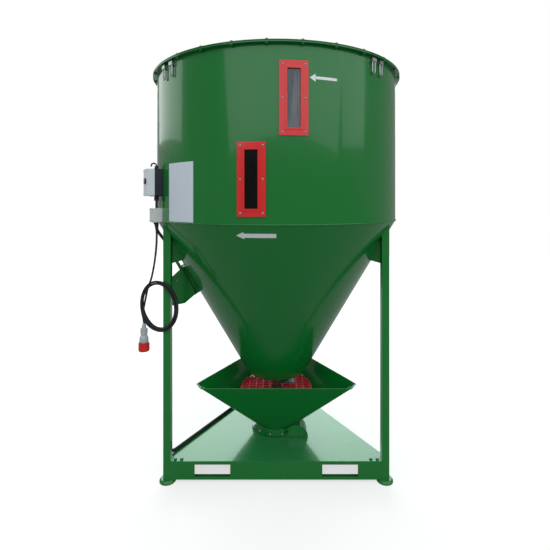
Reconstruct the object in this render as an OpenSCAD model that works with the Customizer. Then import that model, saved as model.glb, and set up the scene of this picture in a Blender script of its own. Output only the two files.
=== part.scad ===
// Vertical feed mixer: a sheet-steel tank with a cone, on a three-legged skid base.
// Origin on the floor under the auger's axis, front towards -Y, up +Z, millimetres.
// Azimuths are counted from the front, positive towards the right.

/* [Tank] */
// Outer radius of the drum
drum_r = 720; // [600:5:850]
// Height of the drum's wall
drum_h = 831; // [700:5:1000]
// Height of the drum's bottom seam above the floor
drum_z = 1415; // [1350:5:1500]
// Thickness of the tank's steel sheet
sheet_t = 3; // [2:0.5:5]
// How far the rim flange stands out from the drum
rim_w = 24; // [16:1:40]
// Thickness of the rim flange
rim_t = 5; // [3:0.5:8]
// Outer radius of the cone at its outlet
outlet_r = 178; // [150:2:220]
// Height of the cone's outlet above the floor
outlet_z = 474; // [440:2:520]

/* [Windows] */
// Width of a window frame
window_w = 134; // [100:2:180]
// Height of a window frame
window_h = 342; // [260:2:380]
// Width of the clear opening in a frame
window_open_w = 62; // [40:2:80]
// Height of the clear opening in a frame
window_open_h = 270; // [200:2:290]
// Thickness of a window frame
window_t = 5; // [3:0.5:8]
// Azimuth of the upper window
upper_az = 6.35; // [2:0.05:15]
// Bottom of the upper window's frame above the drum's seam
upper_up = 407; // [380:1:460]
// Azimuth of the lower window
lower_az = -9.1; // [-20:0.1:-7]
// Bottom of the lower window's frame above the drum's seam
lower_up = 38; // [20:1:50]

/* [Base] */
// Distance from the auger's axis to the outer face of each base beam
base_in = 362; // [340:1:400]
// Height of a base beam
beam_h = 97; // [80:1:130]
// Width of a beam's flanges
beam_w = 40; // [30:1:60]
// Thickness of a beam's folded sheet
beam_t = 4; // [3:0.5:6]
// Thickness of the base plate
plate_t = 3; // [2:0.5:6]
// Distance from the axis at which the plate's rear corner is cut off
plate_cut = 696; // [690:1:698]
// Side of a leg's square tube
leg_w = 40; // [30:1:50]
// Wall of a leg's tube
leg_t = 3; // [2:0.5:5]
// Distance from the axis to each leg's centre
leg_r = 684; // [660:1:690]
// Height of a levelling foot
foot_h = 17; // [12:1:30]
// Radius of a levelling foot
foot_r = 44; // [36:1:50]
// Width of a fork slot
fork_w = 193; // [150:1:220]
// Height of a fork slot
fork_h = 68; // [50:1:70]
// Distance from the middle to a fork slot's centre
fork_x = 346; // [300:1:360]

/* [Hopper] */
// Height of the hopper's rim
hopper_rim = 474; // [440:2:520]
// Distance from the axis to each long side of the hopper's rim
hopper_in = 284; // [260:1:310]
// Distance from the axis to each cut corner of the hopper's rim
hopper_cut = 507; // [450:1:510]
// Radius of the hopper's round bottom and of the neck
neck_r = 127; // [122:1:140]
// Height of the neck between the base plate and the hopper
neck_h = 38; // [30:1:60]
// Radius of the flange rings on the neck
ring_r = 151; // [145:1:165]
// Height of the grate above the hopper's bottom
grate_up = 202; // [180:1:230]
// Depth of the grate's bars
bar_h = 8; // [5:0.5:12]
// Thickness of the grate's bars
bar_t = 6; // [4:0.5:8]
// Spacing of the grate's bars from side to side
bar_x = 42; // [30:1:60]
// Spacing of the grate's bars from front to rear
bar_y = 24; // [20:1:40]

/* [Auger] */
// Radius of the auger's shaft
shaft_r = 25; // [20:1:30]
// Outer radius of the auger's flight
flight_r = 115; // [100:1:116]
// Thickness of the flight
flight_t = 4; // [3:0.5:8]
// Rise of the flight in one turn
flight_pitch = 190; // [140:5:240]
// Inner radius of the riser tube round the auger
riser_r = 122; // [121:1:130]
// Height of the riser tube's lower end above the floor
riser_z = 700; // [640:5:760]
// Height of the riser tube's upper end above the floor
riser_top = 2040; // [1950:5:2060]
// Running clearance between the shaft and its bearings
run_fit = 0.05; // [0.02:0.01:0.1]

/* [Drive] */
// Distance from the axis to the motor's axis, towards the rear
motor_y = 545; // [535:1:550]
// Radius of the motor's body
motor_r = 72; // [60:1:80]
// Height of the motor above the base plate
motor_h = 250; // [220:2:260]
// Radius of the auger's pulley
pulley_big = 90; // [80:1:110]
// Radius of the motor's pulley
pulley_small = 40; // [32:1:50]
// Width of the belt
belt_w = 26; // [20:1:32]

/* [Lid] */
// Radius of the hatch's collar
hatch_r = 250; // [220:2:256]
// Sideways place of the hatch's centre
hatch_x = 67; // [60:1:90]
// Place of the hatch's centre from front to rear
hatch_y = -324; // [-350:1:-320]
// Height of the hatch's collar
hatch_h = 58; // [45:1:80]
// Radius of the inlet spigot
inlet_r = 145; // [130:1:150]
// Sideways place of the inlet's centre
inlet_x = -363; // [-380:1:-360]
// Place of the inlet's centre from front to rear
inlet_y = -194; // [-200:1:-180]
// Height of the inlet spigot
inlet_h = 118; // [90:1:130]

/* [Discharge] */
// Height of the chute's middle on the cone, above the floor
chute_z = 1052; // [1000:2:1100]
// Inner width of the chute from front to rear
chute_w = 194; // [160:2:220]
// Length of the chute's mouth up the cone
chute_l = 170; // [150:2:190]
// Thickness of the slide gate
gate_t = 4; // [3:0.5:6]
// How far the slide gate opens
gate_travel = 150; // [120:2:170]

/* [Electric] */
// Azimuth of the switch box and the junction box
box_az = -61; // [-66:0.5:-58]
// Width of the switch box
switch_w = 105; // [80:1:120]
// Height of the switch box
switch_h = 146; // [120:1:160]
// Depth of the switch box's dark base
switch_base_d = 43; // [35:1:46]
// Depth of the switch box's pale cover
switch_cover_d = 45; // [35:1:46]
// Width and height of the junction box
junction_w = 76; // [60:1:80]
// Depth of the junction box
junction_d = 50; // [40:1:55]
// Radius of the supply cord
cord_r = 5.5; // [4:0.5:7]

/* [Hidden] */
$fn = 96;

seat = 0.3;              // gap between pieces that lie on each other over a curve
eps = 1;                 // overshoot of a cutter past the face it opens
paint = [0.14, 0.39, 0.2];
steel = [0.7, 0.71, 0.73];
red = [0.86, 0.17, 0.16];
black = [0.08, 0.08, 0.09];

beam_top = foot_h + beam_h;
plate_top = beam_top + plate_t;
rim_z = drum_z + drum_h;
seal_t = 3;
lid_z = rim_z + seal_t;
lid_top = lid_z + sheet_t;
rim_r = drum_r + rim_w;
hopper_z = plate_top + neck_h;
slope = (drum_r - outlet_r) / (drum_z - outlet_z);
cone_tilt = atan(slope);
wall_x = sheet_t / cos(cone_tilt);
leg_places = [[-leg_r * sin(60), -leg_r * cos(60)], [leg_r * sin(60), -leg_r * cos(60)],
    [0, leg_r]];

// Radius of the cone's outer face at height z
function cone_r(z) = outlet_r + (z - outlet_z) * slope;

// Corners of an equilateral triangle with one side to the front and its corners cut off
function cut_triangle(inner, cut) = let (half = (inner - cut / 2) / sin(60)) [
    for (corner = [210, 330, 90], side = [-1, 1])
        cut * [cos(corner), sin(corner)] + side * half * [-sin(corner), cos(corner)]
];

// Moves its child from the -Y side of a circle to azimuth az at distance r
module at(az, r = 0) {
    rotate([0, 0, az]) translate([0, -r, 0]) children();
}

// One ring sector of wall: inner radius r, thickness t, azimuth az, arc width w, height h
module sector(az, r, t, w, h) {
    arc = w / r * 180 / PI;
    rotate([0, 0, az - 90 - arc / 2]) rotate_extrude(angle = arc, $fn = 180)
        translate([r, 0]) square([t, h]);
}

// Upright tube of outer radius r, wall t and height h
module tube(r, t, h) {
    difference() {
        cylinder(r = r, h = h);
        translate([0, 0, -eps]) cylinder(r = r - t, h = h + 2 * eps);
    }
}

// Base beams: folded channels, web outwards, with a slot right through for each fork
module channel(half) {
    translate([-half, -base_in, foot_h]) cube([2 * half, beam_t, beam_h]);
    for (z = [foot_h, beam_top - beam_t])
        translate([-half, -base_in, z]) cube([2 * half, beam_w, beam_t]);
}

module fork_slots() {
    for (side = [-1, 1])
        translate([side * fork_x - fork_w / 2, -2 * base_in, foot_h + (beam_h - fork_h) / 2])
            cube([fork_w, 4 * base_in, fork_h]);
}

module leg_footprints(gap = 0) {
    for (p = leg_places)
        translate([p[0] - leg_w / 2 - gap, p[1] - leg_w / 2 - gap, 0])
            cube([leg_w + 2 * gap, leg_w + 2 * gap, drum_z]);
}

module beam_front() {
    color(paint) difference() {
        channel(leg_r * sin(60) - leg_w / 2);
        fork_slots();
        leg_footprints();
    }
}

module side_beam(side) {
    color(paint) difference() {
        rotate([0, 0, side * 120]) channel(leg_r * 1.2);
        fork_slots();
        leg_footprints();
        translate([-2 * leg_r, -base_in + beam_w - 2 * leg_r, 0])
            cube([4 * leg_r, 2 * leg_r, drum_z]);
        translate([side > 0 ? -2 * leg_r : 0, -2 * leg_r, 0]) cube([2 * leg_r, 4 * leg_r, drum_z]);
        translate([-2 * leg_r, leg_r + leg_w / 2 - eps, 0]) cube([4 * leg_r, leg_r, drum_z]);
    }
}

module beam_left() { side_beam(-1); }
module beam_right() { side_beam(1); }

// Base plate: one sheet over the three beams, cut round the legs and the auger's shaft
module base_plate() {
    color(paint) difference() {
        translate([0, 0, beam_top]) linear_extrude(plate_t)
            polygon(cut_triangle(base_in, plate_cut));
        leg_footprints();
        cylinder(r = shaft_r + 8, h = 2 * plate_top);
        translate([0, motor_y, 0]) cylinder(r = 20, h = 2 * plate_top);
    }
}

// Legs: square tubes from under the base up to the cone, cut to the cone's slope
module cone_body(gap) {
    rotate_extrude($fn = 180) polygon([[0, outlet_z], [outlet_r + gap, outlet_z],
        [drum_r + gap, drum_z], [drum_r + gap, rim_z], [0, rim_z]]);
}

module leg(i) {
    color(paint) difference() {
        translate([leg_places[i][0] - leg_w / 2, leg_places[i][1] - leg_w / 2, foot_h])
            difference() {
                cube([leg_w, leg_w, drum_z - foot_h]);
                translate([leg_t, leg_t, -eps])
                    cube([leg_w - 2 * leg_t, leg_w - 2 * leg_t, drum_z]);
            }
        cone_body(seat);
    }
}

module leg_left() { leg(0); }
module leg_right() { leg(1); }
module leg_rear() { leg(2); }

// Levelling feet: round pads under the legs, with a stud up inside the tube
module foot(i) {
    color(paint) translate(leg_places[i]) {
        rotate_extrude() polygon([[0, 0], [foot_r, 0], [foot_r, foot_h * 0.4],
            [foot_r - 8, foot_h], [0, foot_h]]);
        translate([0, 0, foot_h - eps]) cylinder(r = 8, h = 40);
    }
}

module foot_left() { foot(0); }
module foot_right() { foot(1); }
module foot_rear() { foot(2); }

// Gussets: upright plates that tie each leg's top to the cone
gusset_t = 5;
gusset_drop = 230;
gusset_rise = 13;
front_end = (leg_r * sin(60) - leg_w / 2) / sin(60) - gusset_t * 0.3 - seat;
rear_end = leg_r - leg_w / 2 - seat;

module gusset(az, end) {
    low = drum_z - gusset_drop;
    top = outlet_z + (end - seat - outlet_r) / slope;
    color(paint) rotate([0, 0, az]) translate([gusset_t / 2, 0, 0]) rotate([90, 0, -90])
        linear_extrude(gusset_t) polygon([
            [cone_r(low + gusset_rise) + seat, low + gusset_rise], [end, low], [end, top]]);
}

module gusset_left() { gusset(-60, front_end); }
module gusset_right() { gusset(60, front_end); }
module gusset_rear() { gusset(180, rear_end); }

// Drum: rolled sheet with the rim flange, cut for the two windows
pane_lap = 9;

module window_cut(az, up) {
    at(az, drum_r) translate([-window_open_w / 2 - pane_lap, -30,
        drum_z + up + (window_h - window_open_h) / 2 - pane_lap])
        cube([window_open_w + 2 * pane_lap, 60, window_open_h + 2 * pane_lap]);
}

module drum() {
    color(paint) difference() {
        union() {
            translate([0, 0, drum_z]) tube(drum_r, sheet_t, drum_h, $fn = 180);
            translate([0, 0, rim_z - rim_t]) tube(rim_r, rim_w + sheet_t, rim_t, $fn = 180);
        }
        window_cut(upper_az, upper_up);
        window_cut(lower_az, lower_up);
    }
}

// Cone: rolled sheet from the drum's seam down to the outlet, open where the chute leaves
module cone() {
    color(paint) difference() {
        rotate_extrude($fn = 180) polygon([[outlet_r - wall_x, outlet_z], [outlet_r, outlet_z],
            [drum_r, drum_z], [drum_r - wall_x, drum_z]]);
        on_cone() translate([-chute_l / 2, -chute_w / 2, -60]) cube([chute_l, chute_w, 120]);
    }
}

// Window frames: a flat frame bent to the drum with a raised lip round the opening
lip_w = 9;
lip_t = 4;

module window_frame(az, up) {
    side = (window_w - window_open_w) / 2;
    end = (window_h - window_open_h) / 2;
    r = drum_r + seat;
    color(red) difference() {
        union() {
            translate([0, 0, drum_z + up]) sector(az, r, window_t, window_w, window_h);
            translate([0, 0, drum_z + up + end - lip_w])
                sector(az, r, window_t + lip_t, window_open_w + 2 * lip_w, window_open_h + 2 * lip_w);
        }
        at(az, drum_r) translate([-window_open_w / 2, -40, drum_z + up + end])
            cube([window_open_w, 80, window_open_h]);
    }
}

module window_upper() { window_frame(upper_az, upper_up); }
module window_lower() { window_frame(lower_az, lower_up); }

module pane(az, up) {
    color([0.5, 0.56, 0.58, 0.6])
        translate([0, 0, drum_z + up + (window_h - window_open_h) / 2 - pane_lap + 0.5])
            sector(az, drum_r - sheet_t, sheet_t, window_open_w + 2 * pane_lap - 1.5,
                window_open_h + 2 * pane_lap - 1);
}

module pane_upper() { pane(upper_az, upper_up); }
module pane_lower() { pane(lower_az, lower_up); }

// Lid: a flat sheet over a seal, cut for the hatch and the inlet
module lid() {
    color(paint) difference() {
        translate([0, 0, lid_z]) cylinder(r = rim_r, h = sheet_t, $fn = 180);
        translate([hatch_x, hatch_y, lid_z - eps]) cylinder(r = hatch_r - sheet_t, h = 2 * hatch_h);
        translate([inlet_x, inlet_y, lid_z - eps]) cylinder(r = inlet_r - sheet_t, h = 2 * inlet_h);
    }
}

// Hatch collar and inlet spigot: short sheet tubes welded on the lid; the collar has the hinge's ears
module hatch_collar() {
    color(paint) {
        translate([hatch_x, hatch_y, lid_top]) tube(hatch_r, sheet_t, hatch_h);
        hinge_ears();
    }
}

module inlet_spigot() {
    color(paint) translate([inlet_x, inlet_y, lid_top]) tube(inlet_r, sheet_t, inlet_h);
}

module lid_seal() {
    color(black) translate([0, 0, rim_z]) tube(rim_r - 1, rim_w + sheet_t - 3, seal_t, $fn = 180);
}

// Hatch cover: a pressed lid with a turned-down edge, hinged behind the collar
cover_lap = 16;
cover_gap = 4;
cover_t = 2.5;
cover_dome = 14;
hinge_y = hatch_y + hatch_r + 24;
hinge_z = lid_top + hatch_h + seat - cover_lap;
hinge_pin_r = 5;
ear_x = 60;
ear_t = 8;
grip_w = 90;
grip_d = 22;

module hinge_ears() {
    for (side = [-1, 1])
        translate([hatch_x + side * ear_x - ear_t / 2, hinge_y - 10, lid_top])
            difference() {
                cube([ear_t, 20, hinge_z - lid_top + 10]);
                translate([-eps, 10, hinge_z - lid_top]) rotate([0, 90, 0])
                    cylinder(r = hinge_pin_r + run_fit, h = ear_t + 2 * eps, $fn = 32);
            }
}

module hatch_cover() {
    low = lid_top + hatch_h + seat;
    rim = hatch_r + cover_gap;
    color(paint) {
        difference() {
            union() {
                translate([hatch_x, hatch_y, 0]) rotate_extrude() polygon([[0, low + cover_dome],
                    [0, low + cover_dome + cover_t], [rim - 30, low + cover_t],
                    [rim + cover_t, low + cover_t], [rim + cover_t, low - cover_lap],
                    [rim, low - cover_lap], [rim, low], [rim - 30, low]]);
                translate([hatch_x - ear_x + 12, hatch_y + rim - 1, hinge_z - cover_t])
                    cube([2 * ear_x - 24, hinge_y - hatch_y - rim + 1, 2 * cover_t]);
                translate([hatch_x - ear_x + 12, hinge_y, hinge_z]) rotate([0, 90, 0])
                    cylinder(r = 9, h = 2 * ear_x - 24, $fn = 32);
                translate([hatch_x - grip_w / 2, hatch_y - rim - grip_d, low - cover_lap])
                    cube([grip_w, grip_d + 10, cover_t]);
            }
            translate([hatch_x, hatch_y, 0]) cylinder(r = rim, h = low);
        }
        translate([hatch_x - ear_x - ear_t, hinge_y, hinge_z]) rotate([0, 90, 0])
            cylinder(r = hinge_pin_r, h = 2 * ear_x + 2 * ear_t, $fn = 32);
    }
}

// Inlet cap: a dished cap that lifts off the spigot
module inlet_cap() {
    low = lid_top + inlet_h + seat;
    rim = inlet_r + 2;
    color(paint) translate([inlet_x, inlet_y, 0]) {
        rotate_extrude() polygon([[0, low + 12], [0, low + 15], [rim - 20, low + 3],
            [rim + 3, low + 3], [rim + 3, low - 24], [rim, low - 24], [rim, low], [rim - 20, low]]);
    }
}

// Latches: a bracket under the rim with a wire bow that hangs from it
latch_azimuths = [-53.5, -47, 41.5, 46.6, 133, 227];
latch_wire = 3.5;
latch_drop = 46;

module rim_latches() {
    color(steel) for (az = latch_azimuths) at(az) {
        translate([-17, -drum_r - 16, rim_z - rim_t - 26]) difference() {
            cube([34, 16, 18]);
            translate([17, drum_r + 16, -eps]) cylinder(r = drum_r + seat, h = 20, $fn = 180);
        }
        for (side = [-1, 1]) translate([side * 10, -drum_r - 10, rim_z - rim_t - 26 - latch_drop])
            cylinder(r = latch_wire, h = latch_drop + 6, $fn = 24);
        translate([0, -drum_r - 10, rim_z - rim_t - 26 - latch_drop]) rotate([90, 180, 0])
            rotate_extrude(angle = 180, $fn = 32) translate([10, 0]) circle(r = latch_wire, $fn = 24);
    }
}

// Riser tube: guides the feed up round the auger; arms tie it to the cone and the drum
arm_w = 30;
arm_t = 6;
arm_azimuths = [-90, 90, 180];
arm_low = riser_z + 60;
arm_high = riser_top - 80;

module riser_tube() {
    color(paint) translate([0, 0, riser_z]) tube(riser_r + sheet_t, sheet_t, riser_top - riser_z);
}

module riser_arms() {
    color(paint) difference() {
        for (az = arm_azimuths, z = [arm_low, arm_high]) rotate([0, 0, az])
            translate([-arm_t / 2, -drum_r, z]) cube([arm_t, drum_r, arm_w]);
        cylinder(r = riser_r + sheet_t + seat, h = rim_z);
        rotate_extrude($fn = 180) polygon([
            [cone_r(arm_low - arm_w) - wall_x - seat, arm_low - arm_w],
            [cone_r(drum_z) - wall_x - seat, drum_z], [drum_r - sheet_t - seat, drum_z],
            [drum_r - sheet_t - seat, rim_z], [2 * drum_r, rim_z], [2 * drum_r, arm_low - arm_w]]);
    }
}

// Top bridge: a channel across the drum under the lid that carries the top bearing
bridge_w = 70;
bridge_h = 40;
bridge_t = 4;
bearing_h = 34;
bearing_r = 44;

module top_bridge() {
    color(paint) difference() {
        translate([-drum_r, -bridge_w / 2, lid_z - bridge_h]) cube([2 * drum_r, bridge_w, bridge_h]);
        translate([-drum_r - eps, -bridge_w / 2 + bridge_t, lid_z - bridge_h + bridge_t])
            cube([2 * drum_r + 2 * eps, bridge_w - 2 * bridge_t, bridge_h]);
        difference() {
            cylinder(r = 2 * drum_r, h = 2 * rim_z);
            cylinder(r = drum_r - sheet_t - seat, h = 2 * rim_z, $fn = 180);
        }
        cylinder(r = shaft_r + 8, h = 2 * rim_z);
    }
}

module flange_bearing(high) {
    flip = high ? 1 : -1;
    difference() {
        union() {
            cylinder(r = bearing_r, h = bearing_h);
            translate([0, 0, high ? bearing_h - 10 : 0]) linear_extrude(10) hull() {
                translate([0, 34]) circle(r = 26, $fn = 32);
                translate([0, -34]) circle(r = 26, $fn = 32);
            }
        }
        translate([0, 0, -eps]) cylinder(r = shaft_r + run_fit, h = bearing_h + 2 * eps);
    }
}

module top_bearing() {
    color(steel) translate([0, 0, lid_z - bridge_h - bearing_h]) flange_bearing(true);
}

module bottom_bearing() {
    color(steel) translate([0, 0, beam_top]) mirror([0, 0, 1]) flange_bearing(false);
}

// Hopper: four-walled sheet funnel, a cut triangle at the rim run down to a round bottom
module hopper_form(inset) {
    hull() {
        translate([0, 0, hopper_rim - 0.5]) linear_extrude(0.5)
            polygon(cut_triangle(hopper_in - inset, hopper_cut - 1.4 * inset));
        translate([0, 0, hopper_z]) cylinder(r = neck_r - inset, h = 0.5, $fn = 48);
    }
}

module hopper() {
    color(paint) difference() {
        hopper_form(0);
        hopper_form(sheet_t);
        translate([0, 0, hopper_rim - 0.6]) linear_extrude(2)
            polygon(cut_triangle(hopper_in - sheet_t, hopper_cut - 1.4 * sheet_t));
        translate([0, 0, hopper_z - eps]) cylinder(r = neck_r - sheet_t, h = 3, $fn = 48);
    }
}

// Radius of the round grate that the hopper's walls carry at its height
grate_z = hopper_z + grate_up;
function hopper_inner(z) = neck_r - sheet_t
    + (hopper_in - neck_r) * (z - hopper_z) / (hopper_rim - hopper_z);
grate_r = hopper_inner(grate_z) - seat;
grate_hole = shaft_r + 8;

// Grate: a ring with crossed bars, in two halves that meet round the shaft
module grate() {
    color(red) translate([0, 0, grate_z]) difference() {
        union() {
            tube(grate_r, bar_t, bar_h);
            cylinder(r = grate_hole + bar_t, h = bar_h);
            intersection() {
                cylinder(r = grate_r - 1, h = bar_h);
                union() {
                    for (i = [-5:5]) translate([i * bar_x - bar_t / 2, -grate_r, 0])
                        cube([bar_t, 2 * grate_r, bar_h]);
                    for (i = [-9:9]) translate([-grate_r, i * bar_y - bar_t / 2, 0])
                        cube([2 * grate_r, bar_t, bar_h]);
                }
            }
        }
        translate([0, 0, -eps]) cylinder(r = grate_hole, h = bar_h + 2 * eps);
    }
}

// Neck: short round housing between the hopper and the base plate, with two flange rings
ring_t = 6;

module neck() {
    color(paint) translate([0, 0, plate_top]) difference() {
        union() {
            cylinder(r = neck_r, h = neck_h);
            for (z = [0, ring_t + 6]) translate([0, 0, z]) cylinder(r = ring_r, h = ring_t);
        }
        translate([0, 0, -eps]) cylinder(r = neck_r - sheet_t, h = neck_h + 2 * eps);
    }
}

// Clean-out: half-round housing on the plate, at the neck's right front
clean_r = 70;
clean_x = 119;
clean_front = 132;

module cleanout() {
    color(paint) difference() {
        translate([clean_x, -40, plate_top]) rotate([90, 0, 0]) difference() {
            cylinder(r = clean_r, h = clean_front - 40);
            translate([0, 0, -eps]) cylinder(r = clean_r - sheet_t, h = clean_front - 40 - 4);
        }
        cylinder(r = ring_r + seat, h = hopper_z);
        translate([-500, -500, 0]) cube([1000, 1000, plate_top]);
        hopper_form(-seat);
    }
}

// Auger shaft: solid bar from the pulley under the plate up to the top bearing
shaft_low = foot_h + 8;
shaft_top = lid_z - bridge_h + 6;

module auger_shaft() {
    color(steel) translate([0, 0, shaft_low]) cylinder(r = shaft_r, h = shaft_top - shaft_low);
}

// Auger flight: a helical ribbon, four corners at each step round the shaft
flight_steps = 20;
flight_in = shaft_r + 0.6;

module helix(z0, z1) {
    turns = (z1 - z0 - flight_t) / flight_pitch;
    count = ceil(turns * flight_steps);
    corners = [[flight_in, 0], [flight_r, 0], [flight_r, flight_t], [flight_in, flight_t]];
    points = [for (i = [0:count], c = corners) let (turn = turns * i / count)
        [c[0] * cos(360 * turn), c[0] * sin(360 * turn), z0 + turn * flight_pitch + c[1]]];
    sides = [for (i = [0:count - 1], k = [0:3]) let (a = 4 * i + k, b = 4 * i + (k + 1) % 4)
        [[a, b + 4, b], [a, a + 4, b + 4]]];
    faces = concat([for (s = sides, f = s) f], [[0, 1, 2], [0, 2, 3]],
        [[4 * count + 2, 4 * count + 1, 4 * count], [4 * count + 3, 4 * count + 2, 4 * count]]);
    polyhedron(points, faces, convexity = 20);
}

module auger_flight() {
    color(steel) {
        helix(plate_top + 14, grate_z - 12);
        helix(grate_z + bar_h + 12, riser_top + 20);
    }
}

// Belt drive under the plate: pulleys with a rim for one flat belt
belt_z = foot_h + 22;
belt_t = 5;
pulley_h = belt_w + 8;

module pulley(r, bore) {
    difference() {
        rotate_extrude() polygon([[0, 0], [r + 4, 0], [r + 4, 4], [r, 4], [r, 4 + belt_w],
            [r + 4, 4 + belt_w], [r + 4, pulley_h], [0, pulley_h]]);
        translate([0, 0, -eps]) cylinder(r = bore, h = pulley_h + 2 * eps);
    }
}

module auger_pulley() {
    color(steel) translate([0, 0, belt_z - 4]) pulley(pulley_big, shaft_r + seat);
}

motor_shaft_r = 14;
motor_bore_h = 13;

module motor_pulley() {
    color(steel) translate([0, motor_y, belt_z - 4]) {
        pulley(pulley_small, motor_shaft_r);
        cylinder(r = motor_shaft_r, h = plate_top + motor_bore_h - belt_z + 4 - seat);
    }
}

module drive_belt() {
    color(black) translate([0, 0, belt_z + 1]) difference() {
        linear_extrude(belt_w - 2) hull() {
            circle(r = pulley_big + seat + belt_t, $fn = 64);
            translate([0, motor_y]) circle(r = pulley_small + seat + belt_t, $fn = 64);
        }
        translate([0, 0, -eps]) linear_extrude(belt_w + 2 * eps) hull() {
            circle(r = pulley_big + 2 * seat, $fn = 64);
            translate([0, motor_y]) circle(r = pulley_small + 2 * seat, $fn = 64);
        }
    }
}

// Motor: flanged, upright on the plate behind the hopper, with cooling fins and a fan cowl
fin_count = 24;
fin_d = 9;

module motor() {
    flange_h = 12;
    color([0.16, 0.3, 0.5]) translate([0, motor_y, plate_top]) difference() {
        union() {
            cylinder(r = motor_r + 14, h = flange_h);
            cylinder(r = motor_r - fin_d, h = motor_h - 20);
            for (i = [0:fin_count - 1]) rotate([0, 0, i * 360 / fin_count])
                translate([motor_r - fin_d - 2, -1.5, flange_h + 6])
                    cube([fin_d + 2, 3, motor_h - 86]);
            translate([0, 0, motor_h - 62]) cylinder(r = motor_r + 2, h = 62);
        }
        translate([0, 0, -eps]) cylinder(r = motor_shaft_r + 4, h = motor_bore_h + eps);
    }
}

module terminal_box() {
    color([0.16, 0.3, 0.5]) difference() {
        translate([-motor_r - 34, motor_y - 40, plate_top + 70]) cube([56, 80, 80]);
        translate([0, motor_y, 0]) cylinder(r = motor_r + seat, h = 2 * plate_top + 400);
    }
}

// Discharge: collar on the cone, slide gate in its rails, and a spout turned down
// Local frame: x up the cone, y across, z out from the cone's face on the left side
chute_r = cone_r(chute_z);
collar_h = 20;
gate_gap = 1;

module on_cone() {
    translate([-chute_r, 0, chute_z]) rotate([0, -90 - cone_tilt, 0]) children();
}

module chute_collar() {
    rail_z = collar_h;
    rail_l = chute_l / 2 + gate_travel * 0.55;
    color(paint) difference() {
        on_cone() {
            difference() {
                translate([-chute_l / 2 - 4, -chute_w / 2 - 4, -30])
                    cube([chute_l + 8, chute_w + 8, collar_h + 30]);
                translate([-chute_l / 2, -chute_w / 2, -31]) cube([chute_l, chute_w, collar_h + 40]);
            }
            difference() {
                for (side = [-1, 1])
                    translate([-chute_l / 2 - 4, side * (chute_w / 2 + 10) - 10, rail_z - 4])
                        cube([rail_l + chute_l / 2 + 4, 20, gate_t + 2 * gate_gap + 8]);
                translate([-chute_l / 2, -chute_w / 2 - 10, rail_z])
                    cube([rail_l + chute_l, chute_w + 20, gate_t + 2 * gate_gap]);
            }
            translate([-chute_l / 2 - 4, -chute_w / 2 - 12, rail_z - 1])
                cube([4, chute_w + 24, gate_t + 2 * gate_gap + 2]);
        }
        cone_body(seat);
    }
}

module slide_gate() {
    color(steel) on_cone() {
        translate([-chute_l / 2 + seat, -chute_w / 2 - 8, collar_h + gate_gap])
            cube([chute_l + 20, chute_w + 16, gate_t]);
        translate([chute_l / 2 + 14, -40, collar_h + gate_gap]) cube([6, 80, 30]);
    }
}

// Spout: its side outline is run across, then hollowed; top and outer walls slope down
spout_x = -680;
spout_low = -168;

module spout_side(inset) {
    drop = collar_h + gate_t + 2 * gate_gap + 4;
    out = [-cos(cone_tilt), -sin(cone_tilt)];
    up = [-sin(cone_tilt), cos(cone_tilt)];
    mid = [-chute_r, chute_z] + (drop + seat) * out;
    a = mid + (chute_l / 2 + 4 - inset) * up;
    e = mid - (chute_l / 2 + 4 - inset) * up;
    past = inset > 0 ? 30 : 0;
    polygon(concat([a - past * out, [spout_x + inset, a[1] - (a[0] - spout_x) * 0.94],
        [spout_x + inset, chute_z + spout_low - past],
        [e[0] - 60 - inset, chute_z + spout_low + 24 - past], e],
        inset > 0 ? [e - past * out] : []));
}

module chute() {
    color(paint) difference() {
        translate([0, chute_w / 2 + 4, 0]) rotate([90, 0, 0])
            linear_extrude(chute_w + 8) spout_side(0);
        translate([0, chute_w / 2 + 4 - sheet_t, 0]) rotate([90, 0, 0])
            linear_extrude(chute_w + 8 - 2 * sheet_t) spout_side(sheet_t);
    }
}

// Switch box: dark base on the drum, pale cover with a turning knob
switch_z = drum_z + 136;
switch_d = switch_base_d + switch_cover_d;

// Box with rounded upright-to-wall edges, lying on the drum: width w, height h, from r0 to r1
module wall_box(z, w, h, r0, r1, round_r) {
    at(box_az) translate([0, -r0, z]) rotate([90, 0, 0]) linear_extrude(r1 - r0) {
        translate([-w / 2 + round_r, 0]) square([w - 2 * round_r, h]);
        translate([-w / 2, round_r]) square([w, h - 2 * round_r]);
        for (x = [-1, 1], y = [0, 1])
            translate([x * (w / 2 - round_r), round_r + y * (h - 2 * round_r)])
                circle(r = round_r, $fn = 32);
    }
}

module switch_base() {
    color([0.1, 0.11, 0.16]) difference() {
        wall_box(switch_z, switch_w, switch_h, drum_r - 6, drum_r + switch_base_d, 6);
        cylinder(r = drum_r + seat, h = rim_z, $fn = 180);
    }
}

module switch_cover() {
    color([0.8, 0.82, 0.82]) wall_box(switch_z + 1, switch_w - 2, switch_h - 2,
        drum_r + switch_base_d, drum_r + switch_d - 8, 5);
}

module switch_knob() {
    color(black) at(box_az, drum_r + switch_d - 8)
        translate([0, 0, switch_z + switch_h * 0.55]) rotate([90, 0, 0])
            cylinder(r = 16, h = 8, $fn = 40);
}

// Junction box: pale box under the switch box
junction_z = drum_z - 4;

module junction_box() {
    color([0.86, 0.87, 0.88]) difference() {
        wall_box(junction_z, junction_w, junction_w, drum_r - 6, drum_r + junction_d, 4);
        cylinder(r = drum_r + seat, h = rim_z, $fn = 180);
        cone_body(seat);
    }
}

// Links: glands and short cables between the two boxes, and the loop over the switch box
gland_r = 10;
link_gap = switch_z - junction_z - junction_w;

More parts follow.
